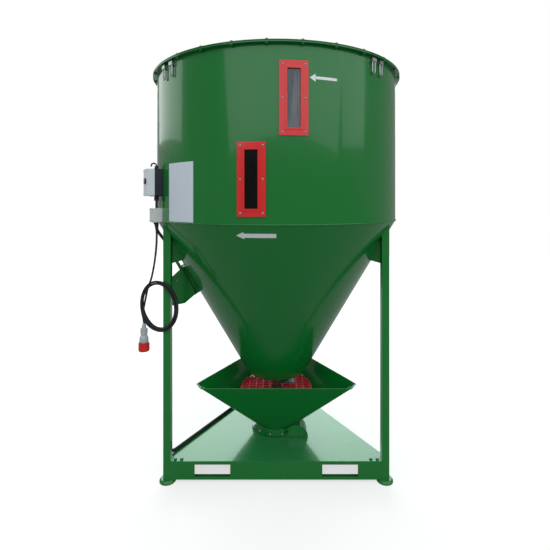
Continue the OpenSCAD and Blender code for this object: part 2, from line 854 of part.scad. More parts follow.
module box_links() {
    color(black) {
        at(box_az, drum_r + 22) translate([0, 0, junction_z + junction_w]) {
            for (side = [-1, 1]) translate([side * 11, 0, 0]) cylinder(r = 4, h = link_gap, $fn = 24);
            translate([11, 0, link_gap - 24]) cylinder(r = gland_r, h = 24, $fn = 24);
            translate([-11, 0, link_gap - 24]) cylinder(r = gland_r, h = 24, $fn = 24);
        }
        at(box_az, drum_r + 22) translate([0, 0, switch_z + switch_h]) {
            cylinder(r = gland_r, h = 18, $fn = 24);
            translate([0, -14, 18]) rotate([90, 0, 90])
                rotate_extrude(angle = 200, $fn = 40) translate([14, 0]) circle(r = 4, $fn = 24);
        }
        at(box_az, drum_r + 22) translate([8, 0, junction_z - 18])
            cylinder(r = gland_r, h = 18, $fn = 24);
    }
}

// Swept tube: one ring of points round each route point, square to the route
function unit(v) = v / norm(v);
function ring_at(route, i, r, n) = let (
        last = len(route) - 1,
        along = unit(route[min(i + 1, last)] - route[max(i - 1, 0)]),
        side = unit(cross(along, [0.3, 0.94, 0.16])),
        up = cross(side, along))
    [for (k = [0:n - 1]) route[i] + r * (cos(360 * k / n) * side + sin(360 * k / n) * up)];

module swept(route, r, n = 8) {
    last = len(route) - 1;
    points = [for (i = [0:last], p = ring_at(route, i, r, n)) p];
    sides = [for (i = [0:last - 1], k = [0:n - 1]) let (a = i * n + k, b = i * n + (k + 1) % n)
        [[a, b, b + n], [a, b + n, a + n]]];
    faces = concat([for (s = sides, f = s) f], [[for (k = [n - 1:-1:0]) k]],
        [[for (k = [0:n - 1]) last * n + k]]);
    polyhedron(points, faces);
}

// Conduit: from the junction box, behind the left leg, down to the base and to the motor
conduit_r = 9;
conduit_route = [[-656, -345, 1411], [-656, -345, 1388], [-653, -337, 1368],
    [-645, -325, 1348], [-630, -314, 1325], [-613, -311, 1302], [-600, -312, 1280],
    [-593, -312.7, 1255], [-592, -312.7, 1230], [-592, -312.7, 190],
    [-590, -309, 155], [-583, -297, 133], [-572, -278, 126.5], [-400, 20, 126.5], [-200, 366, 126.5],
    [-150, 440, 128], [-125, 480, 135], [-105, 508, 150], [-92, 527, 166], [-90, 530, 178],
    [-90, 530, 187]];

module conduit() {
    color(black) swept(conduit_route, conduit_r, 10);
}

// Supply cord: hangs from the junction box into an oval coil beside the leg, then the plug
lead_route = [[-645, -367, 1393], [-645, -367, 1365], [-647, -367, 1300], [-651, -368, 1240],
    [-656, -371, 1180], [-659, -373, 1130], [-659, -374, 1080]];
tail_route = [[-716, -374, 915], [-714, -374, 900], [-712, -374, 882], [-712, -374, 868]];
coil_centre = [-631, -374, 959];
coil_w = 208;
coil_l = 282;
coil_tilt = 11;
coil_band = 24;
coil_d = 23;
plug_top = [-712, -374, 868];

module cord_lead() {
    color(black) difference() {
        swept(lead_route, cord_r);
        coil_solid();
    }
}

module coil_solid() {
    ellipse = function (grow) [for (i = [0:47]) [(coil_w / 2 + grow) * cos(i * 7.5),
        (coil_l / 2 + grow) * sin(i * 7.5)]];
    translate(coil_centre) rotate([90, -coil_tilt, 0]) translate([0, 0, -coil_d / 2 + 1])
        linear_extrude(coil_d - 1) difference() {
            polygon(ellipse(0));
            polygon(ellipse(-coil_band));
        }
}

module cord_coil() {
    color(black) coil_solid();
}

module cord_tail() {
    color(black) difference() {
        swept(tail_route, cord_r);
        coil_solid();
    }
}

// Plug: pale body with a grip and a red collar over its pins
module plug_body() {
    color([0.72, 0.75, 0.78]) translate([plug_top[0], plug_top[1], 0]) rotate_extrude($fn = 48)
        polygon([[0, 766], [22, 766], [24, 782], [22, 798], [16, 808], [19, 818], [19, 842],
            [12, 852], [8, 868], [0, 868]]);
}

module plug_collar() {
    color(red) translate([plug_top[0], plug_top[1], 720]) rotate_extrude($fn = 48)
        polygon([[24, 0], [27, 0], [29, 6], [29, 46], [0, 46], [0, 38], [24, 38]]);
}

beam_front();
beam_left();
beam_right();
base_plate();
leg_left();
leg_right();
leg_rear();
foot_left();
foot_right();
foot_rear();
gusset_left();
gusset_right();
gusset_rear();
drum();
cone();
lid();
lid_seal();
hatch_collar();
inlet_spigot();
hatch_cover();
inlet_cap();
rim_latches();
window_upper();
window_lower();
pane_upper();
pane_lower();
riser_tube();
riser_arms();
top_bridge();
top_bearing();
hopper();
grate();
neck();
cleanout();
bottom_bearing();
auger_shaft();
auger_flight();
auger_pulley();
motor();
terminal_box();
motor_pulley();
drive_belt();
chute_collar();
slide_gate();
chute();
switch_base();
switch_cover();
switch_knob();
junction_box();
box_links();
conduit();
cord_lead();
cord_coil();
cord_tail();
plug_body();
plug_collar();
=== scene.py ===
import math
import bmesh
import bpy
import numpy as np
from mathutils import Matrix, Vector


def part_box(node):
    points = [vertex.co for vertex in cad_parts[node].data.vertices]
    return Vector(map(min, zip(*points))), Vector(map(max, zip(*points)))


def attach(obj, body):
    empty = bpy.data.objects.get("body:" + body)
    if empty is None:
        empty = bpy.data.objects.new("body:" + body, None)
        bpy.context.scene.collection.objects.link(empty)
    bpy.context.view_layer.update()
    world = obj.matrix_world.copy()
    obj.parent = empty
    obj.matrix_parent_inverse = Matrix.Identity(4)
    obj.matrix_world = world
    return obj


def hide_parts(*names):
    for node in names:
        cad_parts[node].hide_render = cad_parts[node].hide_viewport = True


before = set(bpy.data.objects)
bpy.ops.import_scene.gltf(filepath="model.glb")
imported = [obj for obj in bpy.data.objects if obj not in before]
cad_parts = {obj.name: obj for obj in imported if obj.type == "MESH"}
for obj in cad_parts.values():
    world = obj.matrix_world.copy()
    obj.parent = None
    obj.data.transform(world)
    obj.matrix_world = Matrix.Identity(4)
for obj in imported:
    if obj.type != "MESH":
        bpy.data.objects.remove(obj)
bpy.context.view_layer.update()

# Camera: level, 1.52 m above the floor and 2.57 m in front of the auger's axis, square to the
# long side of the hopper.
camera_data = bpy.data.cameras.new("camera")
camera_data.sensor_width = 36.0
camera_data.lens = 26.7
camera_data.shift_x = -0.0023
camera_data.shift_y = -0.1327
camera_data.clip_start = 0.05
camera = bpy.data.objects.new("camera", camera_data)
camera.location = (0.0, -2.570, 1.520)
camera.rotation_euler = (math.pi / 2, 0.0, 0.0)
bpy.context.scene.collection.objects.link(camera)
bpy.context.scene.camera = camera


# Supply cord: a rubber cable, 11 mm across, that leaves the junction box through a gland, hangs
# down beside the left leg, is wound into an oval coil of four turns, and ends in its plug.
# The cable, its sleeve and its plug are made here, with the first finishes.
def evenly(points, count):
    """Points spread evenly along a line through points."""
    run = np.concatenate([[0], np.cumsum(np.linalg.norm(np.diff(points, axis=0), axis=1))])
    return np.stack([np.interp(np.linspace(0, run[-1], count), run, points[:, k])
                     for k in range(3)], 1)


def smooth_path(points, count):
    """A route with its corners rounded: it is sampled evenly, and each sample becomes the mean of
    its neighbours, weighted by a bell curve 12 mm wide; its ends stay in place."""
    soft = 0.012
    p = evenly(np.array(points, float), 4 * count)
    step = np.linalg.norm(p[1] - p[0])
    reach = int(3 * soft / step) + 1
    bell = np.exp(-0.5 * (np.arange(-reach, reach + 1) * step / soft) ** 2)
    padded = np.vstack([2 * p[0] - p[reach:0:-1], p, 2 * p[-1] - p[-2:-reach - 2:-1]])
    rounded = np.stack([np.convolve(padded[:, k], bell / bell.sum(), "valid")
                        for k in range(3)], 1)
    return evenly(rounded, count)


def sweep(path, section, side):
    """Grid of points: section, a closed outline of (across, up) pairs in metres, is carried along
    path; across is the part of side square to the path, and up is square to both. section may
    change along the path."""
    along = np.gradient(path, axis=0)
    along /= np.linalg.norm(along, axis=1, keepdims=True)
    side = np.broadcast_to(np.array(side, float), path.shape)
    across = side - (side * along).sum(1, keepdims=True) * along
    across /= np.linalg.norm(across, axis=1, keepdims=True)
    up = np.cross(along, across)
    section = np.broadcast_to(section, (len(path),) + np.shape(section)[-2:])
    return (path[:, None] + section[..., :1] * across[:, None] + section[..., 1:] * up[:, None])


def ring(radius, count):
    """A circle of count points as (across, up) pairs."""
    turn = np.arange(count) * 2 * np.pi / count
    return radius * np.stack([np.cos(turn), np.sin(turn)], 1)


def lathe(profile, count):
    """Grid of points: each (radius, height) pair of profile is turned round the Z axis."""
    profile = np.array(profile, float)
    turn = np.arange(count) * 2 * np.pi / count
    return np.stack([profile[:, :1] * np.cos(turn), profile[:, :1] * np.sin(turn),
                     np.repeat(profile[:, 1:], count, axis=1)], -1)


def placed(grid, frames):
    """Copies of a grid of points: each frame is a 3 by 4 array whose columns are where x, y, z and
    the origin go."""
    frames = np.array(frames, float)
    return np.einsum("nij,uvj->nuvi", frames[:, :, :3], grid) + frames[:, None, None, :, 3]


def piece(name, grids, body, material, loop=False):
    """One mesh from grids of points. Quads join neighbours, the second side of a grid wraps round,
    and its first and last rows are closed by a face each; loop joins the last row to the first
    instead. Doubled points are merged, the faces are turned outwards, and edges that turn by
    less than 35 degrees are shaded smooth."""
    points, faces, start = [], [], 0
    for grid in grids:
        rows, cols = grid.shape[:2]
        i, j = np.meshgrid(np.arange(rows - 1 + loop), np.arange(cols), indexing="ij")
        k, n = (i + 1) % rows, (j + 1) % cols
        quads = np.stack([i * cols + j, i * cols + n, k * cols + n, k * cols + j], -1)
        faces += (quads.reshape(-1, 4) + start).tolist()
        if not loop:
            faces += [list(range(start, start + cols)),
                      list(range(start + (rows - 1) * cols, start + rows * cols))]
        points.append(grid.reshape(-1, 3))
        start += rows * cols
    mesh = bpy.data.meshes.new(name)
    mesh.from_pydata(np.vstack(points).tolist(), [], faces)
    shape = bmesh.new()
    shape.from_mesh(mesh)
    bmesh.ops.remove_doubles(shape, verts=shape.verts, dist=2e-6)
    bmesh.ops.recalc_face_normals(shape, faces=shape.faces)
    for face in shape.faces:
        face.smooth = True
    for edge in shape.edges:
        edge.smooth = edge.calc_face_angle(0.0) < math.radians(35)
    shape.to_mesh(mesh)
    shape.free()
    made = bpy.data.objects.new(name, mesh)
    bpy.context.scene.collection.objects.link(made)
    mesh.materials.append(material)
    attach(made, body)
    return made


class Amount:
    """A shader socket: + - and * on it add Math nodes."""

    def __init__(self, finish, out):
        self.finish, self.out = finish, out

    def math(self, operation, first, second):
        return self.finish.add("ShaderNodeMath", {"operation": operation}, {0: first, 1: second})

    def __add__(self, other): return self.math("ADD", self, other)
    def __radd__(self, other): return self.math("ADD", other, self)
    def __sub__(self, other): return self.math("SUBTRACT", self, other)
    def __rsub__(self, other): return self.math("SUBTRACT", other, self)
    def __mul__(self, other): return self.math("MULTIPLY", self, other)
    def __rmul__(self, other): return self.math("MULTIPLY", other, self)


class Finish:
    """A material with one Principled shader. Constants go on its sockets; what varies is linked."""

    def __init__(self, name, **constants):
        self.material = bpy.data.materials.new(name)
        self.material.use_nodes = True
        self.tree = self.material.node_tree
        self.shader = next(n for n in self.tree.nodes if n.type == "BSDF_PRINCIPLED")
        for socket, value in constants.items():
            self.put(self.shader.inputs[socket.replace("_", " ")], value)
        self.place = self.add("ShaderNodeTexCoord", {}, {}, "Object")

    def put(self, socket, value):
        if isinstance(value, Amount):
            self.tree.links.new(value.out, socket)
        else:
            socket.default_value = tuple(value) + (1.0,) * (
                len(socket.default_value) - len(value)) if hasattr(value, "__len__") else value

    def add(self, kind, settings, values, out=0):
        node = self.tree.nodes.new(kind)
        for key, value in settings.items():
            setattr(node, key, value)
        for key, value in values.items():
            self.put(node.inputs[key], value)
        return Amount(self, node.outputs[out])

    def noise(self, scale, detail=2.0, stretch=None):
        place = self.place
        if stretch:
            place = self.add("ShaderNodeMapping", {}, {"Vector": place, "Scale": stretch})
        return self.add("ShaderNodeTexNoise", {}, {
            "Vector": place, "Scale": scale, "Detail": detail, "Roughness": 0.55})

    def ramp(self, value, low, high):
        """0 below low and 1 above high."""
        return self.add("ShaderNodeMapRange", {"interpolation_type": "SMOOTHSTEP"}, {
            "Value": value, "From Min": low, "From Max": high})

    def blend(self, share, first, second):
        return self.add("ShaderNodeMix", {"data_type": "RGBA"}, {0: share, 6: first, 7: second}, 2)

    def height(self):
        return self.add("ShaderNodeSeparateXYZ", {}, {"Vector": self.place}, "Z")

    def bump(self, surface, depth):
        return self.add("ShaderNodeBump", {}, {
            "Height": surface, "Distance": depth, "Strength": 1.0})

    def wear(self, **links):
        for socket, value in links.items():
            self.put(self.shader.inputs[socket.replace("_", " ")], value)
        return self.material


def srgb(red, green, blue):
    """Linear colour of an 8-bit screen colour."""
    shade = np.array([red, green, blue]) / 255
    return tuple(np.where(shade > 0.04045, ((shade + 0.055) / 1.055) ** 2.4, shade / 12.92))


def rubber(name, shade):
    """Matt rubber: fine grain, with paler dust where the slow noise is high."""
    f = Finish(name, Roughness=0.55)
    dust = f.ramp(f.noise(9.0, 4.0), 0.45, 0.75)
    return f.wear(
        Base_Color=f.blend(dust * 0.35, shade, tuple(0.6 * c + 0.06 for c in shade)),
        Roughness=0.5 + 0.25 * dust,
        Normal=f.bump(f.noise(260.0, 3.0), 0.0004))


CORD_RADIUS = 0.0055
COIL_CENTRE = np.array([-0.631, -0.374, 0.959])
COIL_TILT = math.radians(11)
COIL_TURNS = 4
COIL_HALF_WIDTH = 0.092
COIL_HALF_HEIGHT = 0.129
gland_mouth = (-0.645, -0.367, 1.393)


def in_coil(across, up):
    """A place in the coil's plane, across and up from its centre, turned by the coil's tilt."""
    cosine, sine = math.cos(COIL_TILT), math.sin(COIL_TILT)
    return np.stack([across * cosine - up * sine, 0.0 * across, across * sine + up * cosine], -1)


# The turns lie beside and inside each other: grow moves a turn outwards, depth to the back.
turn = np.linspace(np.pi - 0.28, np.pi + COIL_TURNS * 2 * np.pi, 200)
turns_made = (turn - turn[0]) / (2 * np.pi)
grow = np.interp(turns_made, [0, 0.85, 1.15, 2.8, 3.2, 4],
                 [0.0062, 0.0062, -0.0060, -0.0060, 0.0052, 0.0060])
grow += 0.0016 * np.sin(3 * turn + 0.6) * np.sin(1.27 * turn)
depth = np.interp(turns_made, [0, 1.85, 2.15, 4], [-0.0056, -0.0056, 0.0054, 0.0054])
depth += 0.0008 * np.sin(2.3 * turn)
coil = COIL_CENTRE + in_coil((COIL_HALF_WIDTH + grow) * np.cos(turn),
                             (COIL_HALF_HEIGHT + grow) * np.sin(turn))
coil[:, 1] += depth
lead = np.array([gland_mouth, (-0.645, -0.367, 1.365), (-0.646, -0.368, 1.300),
                 (-0.650, -0.371, 1.240), (-0.657, -0.376, 1.180), (-0.670, -0.3795, 1.110),
                 (-0.690, -0.3800, 1.058)])
tail = np.array([(-0.7225, -0.3690, 0.915), (-0.7160, -0.3715, 0.893), (-0.7126, -0.3735, 0.880),
                 (-0.7120, -0.3740, 0.8682)])
route = smooth_path(np.vstack([lead, coil[4:], tail]), 420)
cable_rubber = rubber("cable_rubber", srgb(34, 36, 40))
cable = piece("supply_cord", [sweep(route, ring(CORD_RADIUS, 12), (0, 1, 0))],
              "frame", cable_rubber)
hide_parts("cord_lead", "cord_coil", "cord_tail")

# Two black ties, 5 mm wide and 1 mm thick, hold the coil's turns together at its upper right and
# lower left. Each is a rounded square loop that closes on itself.
TIE_HALF_WIDTH = 0.0138
TIE_HALF_DEPTH = 0.0112
round_it = np.arange(32) * 2 * np.pi / 32
squared = [np.sign(wave) * abs(wave) ** 0.6 for wave in (np.cos(round_it), np.sin(round_it))]
band = np.array([(-0.0025, -0.0005), (0.0025, -0.0005), (0.0025, 0.0005), (-0.0025, 0.0005)])
ties = []
for angle in (0.55, 3.75):
    centre = COIL_CENTRE + in_coil(COIL_HALF_WIDTH * math.cos(angle),
                                   COIL_HALF_HEIGHT * math.sin(angle))
    along = in_coil(-COIL_HALF_WIDTH * math.sin(angle), COIL_HALF_HEIGHT * math.cos(angle))
    along /= np.linalg.norm(along)
    out = np.cross((0.0, 1.0, 0.0), along)
    loop = centre + np.outer(TIE_HALF_WIDTH * squared[0], out)
    loop[:, 1] += TIE_HALF_DEPTH * squared[1]
    ties.append(np.stack([loop + a * along + b * (loop - centre) / TIE_HALF_WIDTH
                          for a, b in band], 1))
tie_plastic = rubber("tie_nylon", srgb(24, 24, 26))
piece("coil_ties", ties, "frame", tie_plastic, loop=True)

# Strain relief: a soft rubber sleeve below the gland, with six ribs, moulded on and tapering down
# to the cable.
sleeve = [(CORD_RADIUS, 0.0), (0.0095, 0.0)]
for rib in range(6):
    low = 0.004 + 0.006 * rib
    wide = 0.0095 - 0.0005 * rib
    sleeve += [(wide, low), (wide - 0.0011, low + 0.0012), (wide - 0.0011, low + 0.003),
               (wide - 0.0002, low + 0.0042)]
sleeve += [(0.0063, 0.042), (CORD_RADIUS, 0.042)]
relief = lathe([(r, -z) for r, z in sleeve], 28) + gland_mouth
piece("strain_relief", [relief], "frame", cable_rubber, loop=True)


# Plug: a heavy-duty round plug. Its grey body has a ridged grip and a clamp nut where the cable
# goes in; a red collar with grip ribs surrounds five brass pins.
def plastic(name, shade, gloss=0.32):
    """Moulded plastic: fine grain in the gloss and a little scuffing."""
    f = Finish(name, Coat_Weight=0.15, Coat_Roughness=0.2)
    scuff = f.ramp(f.noise(14.0, 6.0), 0.5, 0.8)
    return f.wear(
        Base_Color=f.blend(scuff * 0.4, shade, tuple(0.75 * c + 0.03 for c in shade)),
        Roughness=gloss + 0.22 * scuff,
        Normal=f.bump(f.noise(700.0, 2.0), 0.00015))


def ribbed(profile, count, ribs, depth, rows):
    """A lathe whose radius falls by depth between ribs evenly spread round it, on some rows."""
    grid = lathe(profile, count)
    turn = np.arange(count) * 2 * np.pi / count
    dip = 1 - 0.5 * depth * (1 + np.cos(ribs * turn))
    grid[rows, :, :2] *= dip[None, :, None]
    return grid


plug_x, plug_y = -0.712, -0.374
plug_grey = plastic("plug_grey", srgb(176, 184, 190))
plug_red = plastic("plug_red", srgb(214, 38, 38), 0.18)
grip = [(0.0, 0.766), (0.0215, 0.766), (0.0235, 0.769), (0.0238, 0.780), (0.0225, 0.794),
        (0.0190, 0.7995), (0.0165, 0.8030), (0.0165, 0.8085), (0.0186, 0.8110), (0.0188, 0.8140),
        (0.0188, 0.8380), (0.0183, 0.8415), (0.0150, 0.8425), (0.0118, 0.8435), (0.0116, 0.8470),
        (0.0100, 0.8580), (0.0078, 0.8665), (0.0058, 0.8678), (0.0, 0.8678)]
plug = piece("plug_grip", [ribbed(grip, 72, 18, 0.06, slice(9, 11)) + (plug_x, plug_y, 0)],
             "frame", plug_grey)
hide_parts("plug_body")
shell = [(0.0242, 0.7202), (0.0268, 0.7202), (0.0280, 0.7220), (0.0290, 0.7260), (0.0290, 0.7280),
         (0.0290, 0.7620), (0.0290, 0.7638), (0.0276, 0.7656), (0.0240, 0.7658), (0.0, 0.7658),
         (0.0, 0.7585), (0.0238, 0.7585)]
collar = piece("plug_shell", [ribbed(shell, 120, 24, 0.035, slice(4, 6)) + (plug_x, plug_y, 0)],
               "frame", plug_red, loop=True)
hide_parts("plug_collar")
brass = Finish("pin_brass", Metallic=1.0)
brass.wear(Base_Color=brass.blend(brass.noise(60.0), srgb(196, 170, 110), srgb(226, 204, 150)),
           Roughness=0.22 + 0.2 * brass.noise(180.0))
pin = lathe([(0.0, 0.725), (0.0022, 0.725), (0.0029, 0.728), (0.0029, 0.7589), (0.0, 0.7589)], 20)
spots = np.arange(5) * 2 * np.pi / 5 + 0.3
piece("plug_pins", [pin + (plug_x + 0.0145 * math.cos(a), plug_y + 0.0145 * math.sin(a), 0)
                    for a in spots], "frame", brass.material)


# Tank: the drum, the cone and the lid are 3 mm sheet, rolled and welded, with gloss green paint
# sprayed over everything. The sheet is slightly wavy and the paint has an orange-peel skin.
def gloss_paint(name, shade, dusty=1.0, dents=1.0):
    """Sprayed gloss paint: slow waves of the sheet and a fine skin in the bump, dust in the slow
    noise, and more dust near the floor."""
    f = Finish(name, Coat_Weight=0.55, Coat_Roughness=0.06, Coat_IOR=1.5, IOR=1.4)
    low = 1 - f.ramp(f.height(), 0.0, 0.35)
    specks = f.ramp(f.noise(38.0, 8.0), 0.56, 0.82)
    dust = (f.ramp(f.noise(3.2, 5.0), 0.42, 0.8) * 0.10 + low * 0.10 + specks * 0.07) * dusty
    waves = f.noise(2.6, 1.0) + 0.25 * f.noise(7.5, 1.0)
    return f.wear(
        Base_Color=f.blend(dust, shade, tuple(0.7 * c + 0.06 for c in shade)),
        Roughness=0.20 + 0.5 * dust,
        Normal=f.bump(waves * (0.0042 * dents) + f.noise(240.0, 1.0) * 0.00007, 1.0))


def dress(material, *nodes):
    """Gives CAD nodes their finish."""
    for node in nodes:
        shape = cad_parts[node]
        for place in shape.material_slots:
            place.material = material


green = srgb(8, 116, 44)
green_paint = gloss_paint("green_paint", green)
flat_green = gloss_paint("green_paint_flat_sheet", green, 1.0, 0.35)
dress(green_paint, "drum", "cone", "lid", "hatch_collar", "hatch_cover", "inlet_spigot",
      "inlet_cap", "riser_tube", "riser_arms", "top_bridge")
dress(flat_green, "hopper", "neck", "cleanout", "chute_collar", "chute", "gusset_left",
      "gusset_right", "gusset_rear")
sealing = rubber("seal_rubber", srgb(26, 27, 28))
dress(sealing, "lid_seal")

DRUM_RADIUS = 0.720
DRUM_LOW = 1.415


def round_axis(turn, radius, height):
    """Points at angles turn about the auger's axis, counted from the front towards the right."""
    return np.stack([radius * np.sin(turn), -radius * np.cos(turn),
                     np.full(np.shape(turn), height)], 1)


def closed_sweep(path, section, side):
    """A sweep along a path that comes back to its start."""
    section = np.broadcast_to(section, (len(path),) + np.shape(section)[-2:])
    return sweep(np.vstack([path[-1:], path, path[:1]]),
                 np.concatenate([section[-1:], section, section[:1]]), side)[1:-1]


seam_turn = np.arange(1440) * 2 * np.pi / 1440
bead = 0.0036 + 0.0006 * np.sin(seam_turn * 233) + 0.0004 * np.sin(seam_turn * 97 + 1)
seam = closed_sweep(round_axis(seam_turn, DRUM_RADIUS, DRUM_LOW),
                    ring(1.0, 8) * bead[:, None, None], (0, 0, 1))
piece("tank_seam_weld", [seam], "frame", green_paint, loop=True)


def bolt(radius, height):
    """Hexagon head, chamfered, on a round washer: two lathes, of 6 and 24 sides."""
    return [lathe([(0, height), (0.86 * radius, height), (radius, 0.8 * height), (radius, 0.0006),
                   (0, 0.0006)], 6),
            lathe([(0, 0.0014), (1.25 * radius, 0.0014), (1.32 * radius, 0.0008),
                   (1.32 * radius, 0), (0, 0)], 24)]


def on_drum(azimuths, heights, radius):
    """Frames that stand on the drum: x along it, y up and z outwards."""
    turn = np.radians(np.array(azimuths, float))
    heights = np.broadcast_to(heights, turn.shape)
    flat = np.zeros_like(turn)
    out = np.stack([np.sin(turn), -np.cos(turn), flat], 1)
    along = np.stack([np.cos(turn), np.sin(turn), flat], 1)
    origin = out * radius
    origin[:, 2] = heights
    return np.stack([along, np.broadcast_to((0.0, 0.0, 1.0), along.shape), out, origin], 2)


def standing(points, down=False):
    """Frames with z upwards, or downwards, at points."""
    points = np.atleast_2d(np.array(points, float))
    axes = np.diag([1.0, -1.0, -1.0] if down else [1.0, 1.0, 1.0])
    return np.concatenate([np.broadcast_to(axes, (len(points), 3, 3)), points[:, :, None]], 2)


def many(shapes, frames):
    """Every shape at every frame, as a list of grids."""
    return [grid for shape in shapes for grid in placed(shape, frames)]


# Zinc plate, on all the small screws, the latches and the clips: blotches in its tone and gloss.
zinc = Finish("zinc_plate", Metallic=1.0)
zinc.wear(Base_Color=zinc.blend(zinc.noise(90.0, 4.0), srgb(168, 172, 176), srgb(206, 208, 206)),
          Roughness=0.25 + 0.25 * zinc.noise(140.0, 3.0),
          Normal=zinc.bump(zinc.noise(900.0, 2.0), 0.00005))

# Rim: 28 painted bolts pinch the lid and its seal to the drum's flange, heads up, nuts below. The
# latches between them are zinc-plated.
LID_TOP = 2.2521
RIM_CLAMP = 0.0112
rim_turn = np.radians(-3.4 + np.arange(28) * 360 / 28)
rim_places = round_axis(rim_turn, 0.7335, LID_TOP)
piece("rim_bolts", many(bolt(0.0075, 0.006), standing(rim_places)), "frame",
      green_paint)
piece("rim_nuts", many(bolt(0.0075, 0.0062), standing(rim_places - (0, 0, RIM_CLAMP), True)),
      "frame", green_paint)
dress(zinc.material, "rim_latches")


# Windows: clear plates behind red frames, bent to the drum, sealed with black rubber and held by
# six domed screws each. The feed's dust lies on the inside of the plates. The upper plate's
# grey-blue tint and pale dust are painted light from inside the drum; the lower one looks into
# the dark, and its near-black tint and faint dust are painted shade.
def clouded_plate(name, shade, through, dust_lift_and_painted_light, shine):
    """Clear plastic with feed dust on its back, in upright streaks."""
    # The tint and the dust's lift that each window passes in are painted light for the upper plate
    # and painted shade for the lower.
    f = Finish(name, Coat_Weight=shine, Coat_Roughness=0.03, IOR=1.25 + 0.4 * shine)
    streak = f.noise(30.0, 5.0, (1.0, 1.0, 0.12))
    cloud = f.ramp(streak, 0.35, 0.8)
    return f.wear(Base_Color=f.blend(cloud, shade, tuple(0.6 * c + dust_lift_and_painted_light for c in shade)),
                  Roughness=0.08 + 0.1 * cloud, Alpha=through + (0.98 - through) * cloud)


red_gloss = gloss_paint("red_paint", srgb(222, 34, 36), 0.6, 0.15)
dress(red_gloss, "window_upper", "window_lower")
# Same plastic in both windows: the upper plate's lighter tint is painted light, the lower plate's
# near-black tint painted shade.
dress(clouded_plate("upper_plate_painted_light", srgb(66, 74, 88), 0.72, 0.10, 0.6), "pane_upper")
dress(clouded_plate("lower_plate_painted_shade", srgb(5, 7, 9), 0.92, 0.004, 0.1), "pane_lower")
dome = lathe([(0, 0.0030), (0.0022, 0.0028), (0.0042, 0.0019), (0.0056, 0.0004), (0.0056, 0),
              (0, 0)], 20)
FRAME_FACE = 0.7253
PLATE_BACK = 0.7178
SEAL_DEPTH = 0.0028
screw_side = np.degrees(0.0525 / FRAME_FACE)
seal_strips = ((-0.035, 0.035, 0.0345, 0.0365), (-0.035, 0.035, 0.3055, 0.3075),
               (-0.0335, -0.0312, 0.0365, 0.3055), (0.0312, 0.0335, 0.0365, 0.3055))
for name, azimuth, low in (("upper", 6.35, 1.822), ("lower", -9.1, 1.453)):
    around = azimuth + screw_side * np.array([-1, 1, -1, 1, -1, 1])
    up = low + np.array([0.016, 0.016, 0.171, 0.171, 0.326, 0.326])
    piece("window_screws_" + name, many([dome], on_drum(around, up, FRAME_FACE)), "frame",
          zinc.material)
    sealant = []
    for x0, x1, z0, z1 in seal_strips:
        arc = np.radians(azimuth + np.degrees(np.linspace(x0, x1, 9) / DRUM_RADIUS))
        strip = np.array([(0, 0), (z1 - z0, 0), (z1 - z0, SEAL_DEPTH), (0, SEAL_DEPTH)])
        sealant.append(sweep(round_axis(arc, PLATE_BACK, low + z0), strip, (0, 0, 1)))
    piece("window_seal_" + name, sealant, "frame", sealing)


# Signs: a white level mark beside the upper window, a white sheet beside the boxes and a white
# arrow under the seam, all plain self-adhesive film, 0.3 mm thick.
def film(name, shade):
    """Satin film: slow mottling, a few scuffs and a faint grain."""
    f = Finish(name, Coat_Weight=0.4, Coat_Roughness=0.12)
    scuff = f.ramp(f.noise(24.0, 7.0), 0.55, 0.85)
    return f.wear(Base_Color=f.blend(scuff * 0.3, shade, tuple(0.86 * c for c in shade)),
                  Roughness=0.3 + 0.2 * scuff, Normal=f.bump(f.noise(60.0, 3.0), 0.0004))


def film_strip(path, low, high, up=(0, 0, 1), thick=0.0004):
    """Film stuck along path: a flat section that reaches from low to high along up; both may
    change along the path. Its back lies 0.12 mm off the sheet."""
    section = np.zeros((len(path), 4, 2))
    section[:, (0, 3), 0] = np.reshape(low, (-1, 1))
    section[:, (1, 2), 0] = np.reshape(high, (-1, 1))
    section[:, :, 1] = (0.00012, 0.00012, thick, thick)
    return sweep(path, section, up)


def on_wall(azimuths, height):
    """A path along the drum's wall at one height."""
    return round_axis(np.radians(azimuths), DRUM_RADIUS, height)


white_film = film("white_film", srgb(226, 230, 232))
pale_film = film("pale_blue_film", srgb(206, 218, 230))
mark = film_strip(on_wall(np.linspace(14.6, 23.2, 24), 2.084), 0, 0.013)
piece("level_mark", [mark], "frame", white_film)
wedge = 0.018 * np.linspace(0.02, 1.0, 12)
pointed = film_strip(on_wall(np.linspace(12.3, 14.5, 12), 2.0905), -wedge, wedge)
piece("level_pointer", [pointed], "frame", white_film)
SHEET_HEIGHT = 0.297
sheet = film_strip(on_wall(np.linspace(-50.3, -33.9, 40), 1.4205), 0, SHEET_HEIGHT)
piece("plain_sheet_sign", [sheet], "frame", pale_film)

CONE_LOW, CONE_LOW_RADIUS = 0.474, 0.178
ARROW_HEIGHT = 1.3635
slope = (DRUM_RADIUS - CONE_LOW_RADIUS) / (DRUM_LOW - CONE_LOW)
lean = math.atan(slope)
arc = np.radians(np.concatenate([np.linspace(-15.7, -12.6, 10), np.linspace(-12.58, 0, 24)]))
half = np.concatenate([np.linspace(0.0004, 0.020, 10), np.full(24, 0.0115)])
arrow_path = round_axis(arc, CONE_LOW_RADIUS + (ARROW_HEIGHT - CONE_LOW) * slope, ARROW_HEIGHT)
up_cone = round_axis(arc, math.sin(lean), math.cos(lean))
piece("arrow_sign", [film_strip(arrow_path, -half, half, up_cone, 0.0005)], "frame",
      white_film)


# Base: a triangle of open steel channels with a plate on it, three square-tube legs and turned
# feet. Painted bolts hold the plate's corners beside the legs, and a fillet weld joins the inner
# side of each front leg to the plate.
base_green = gloss_paint("base_green_paint", srgb(14, 122, 47), 1.0, 0.5)
# The plate's green is paler and bluer than the base's: the plate's own paint with part of its pale
# sheen painted into the colour.
plate_green_with_painted_sheen = gloss_paint("plate_paint_with_painted_sheen", srgb(34, 122, 64), 1.0, 0.4)
dress(base_green, "beam_front", "beam_left", "beam_right", "leg_left", "leg_right", "leg_rear",
      "foot_left", "foot_right", "foot_rear")
dress(plate_green_with_painted_sheen, "base_plate")

